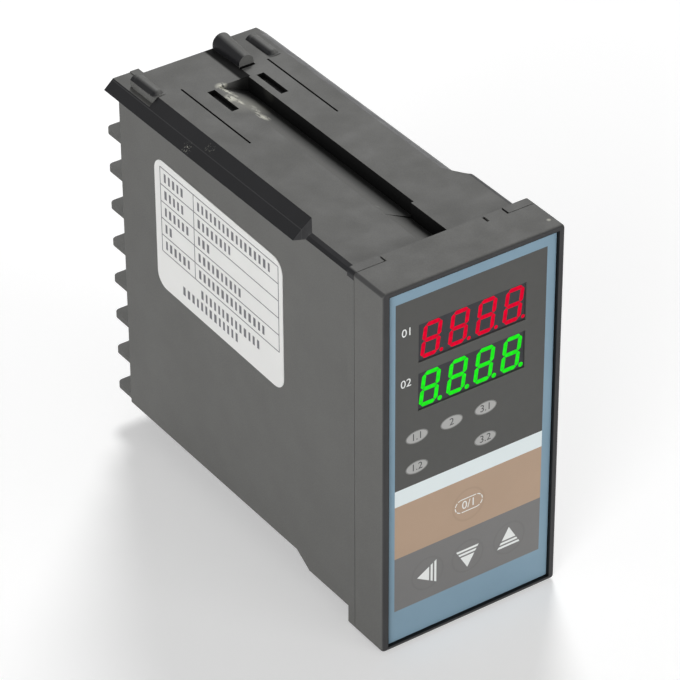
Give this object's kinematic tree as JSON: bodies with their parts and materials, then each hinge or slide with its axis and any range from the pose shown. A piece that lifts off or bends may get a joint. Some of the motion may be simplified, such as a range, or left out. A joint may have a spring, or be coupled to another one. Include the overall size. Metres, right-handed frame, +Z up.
{
  "type": "pid temperature controller",
  "caption": "Panel-mounted temperature controller: tall narrow front with two lit digit rows, indicator lamps and film-covered keys, a deep plastic case and rear screw terminals.",
  "frame": {"origin": "centre of the rear face of the case flange, where the instrument seats on the front of the panel", "axes": "+Y along the case towards its rear, +Z up, +X to the right seen from the front"},
  "size_m": [0.048, 0.113, 0.0975],
  "materials": {
    "case_plastic": "fine spark-eroded texture, satin",
    "terminal_plastic": "moulded, satin",
    "sheet_print": "printed polyester sheet, low gloss",
    "display_face": "dark filter",
    "red_light": "lit",
    "green_light": "lit",
    "lamp_lens": "diffused",
    "key_plastic": "moulded",
    "circuit_board": "solder mask",
    "steel": "zinc plated",
    "contact_brass": "plated",
    "core_steel": "varnished laminations",
    "coil_tape": "wrapped tape",
    "relay_plastic": "moulded",
    "component_black": "moulded",
    "capacitor_sleeve": "shrink sleeve",
    "fuse_ceramic": "glazed",
    "absorber_coat": "dipped",
    "label_paper": "matt, printed"
  },
  "bodies": {
    "case": {"case_shell": "case_plastic", "rear_terminal_block": "terminal_plastic", "terminal_contacts_left": "contact_brass", "terminal_contacts_right": "contact_brass", "terminal_clamp_plates": "steel", "terminal_screws": "steel", "rating_label": "label_paper"},
    "inner_unit": {"front_bezel": "case_plastic", "front_sheet": "sheet_print", "upper_display_module": "display_face", "upper_display_segments": "red_light", "lower_display_module": "display_face", "lower_display_segments": "green_light", "indicator_leds": "lamp_lens", "switch_bodies": "component_black", "display_board": "circuit_board", "display_board_screws": "steel", "link_headers": "component_black", "logic_board": "circuit_board", "power_board": "circuit_board", "board_spacers": "key_plastic", "microcontroller": "component_black", "memory_chip": "component_black", "input_amplifier": "component_black", "transformer_core": "core_steel", "transformer_winding": "coil_tape", "output_relay": "relay_plastic", "alarm_relay": "relay_plastic", "supply_capacitor": "capacitor_sleeve", "filter_capacitor": "capacitor_sleeve", "supply_fuse": "fuse_ceramic", "surge_absorber": "absorber_coat"},
    "set_button": {"key_set": "key_plastic", "switch_pin_set": "component_black"},
    "shift_button": {"key_shift": "key_plastic", "switch_pin_shift": "component_black"},
    "down_button": {"key_down": "key_plastic", "switch_pin_down": "component_black"},
    "up_button": {"key_up": "key_plastic", "switch_pin_up": "component_black"}
  },
  "joints": [
    {"name": "unit_draw_out", "type": "slide", "parent": "case", "child": "inner_unit", "axis": [0, -1, 0], "range_m": [0, 0.09]},
    {"name": "set_press", "type": "slide", "parent": "inner_unit", "child": "set_button", "axis": [0, 1, 0], "range_m": [0, 0.00025], "stiffness_N_per_m": 1500, "springref_m": -0.0002},
    {"name": "shift_press", "type": "slide", "parent": "inner_unit", "child": "shift_button", "axis": [0, 1, 0], "range_m": [0, 0.00025], "stiffness_N_per_m": 1500, "springref_m": -0.0002},
    {"name": "down_press", "type": "slide", "parent": "inner_unit", "child": "down_button", "axis": [0, 1, 0], "range_m": [0, 0.00025], "stiffness_N_per_m": 1500, "springref_m": -0.0002},
    {"name": "up_press", "type": "slide", "parent": "inner_unit", "child": "up_button", "axis": [0, 1, 0], "range_m": [0, 0.00025], "stiffness_N_per_m": 1500, "springref_m": -0.0002}
  ]
}
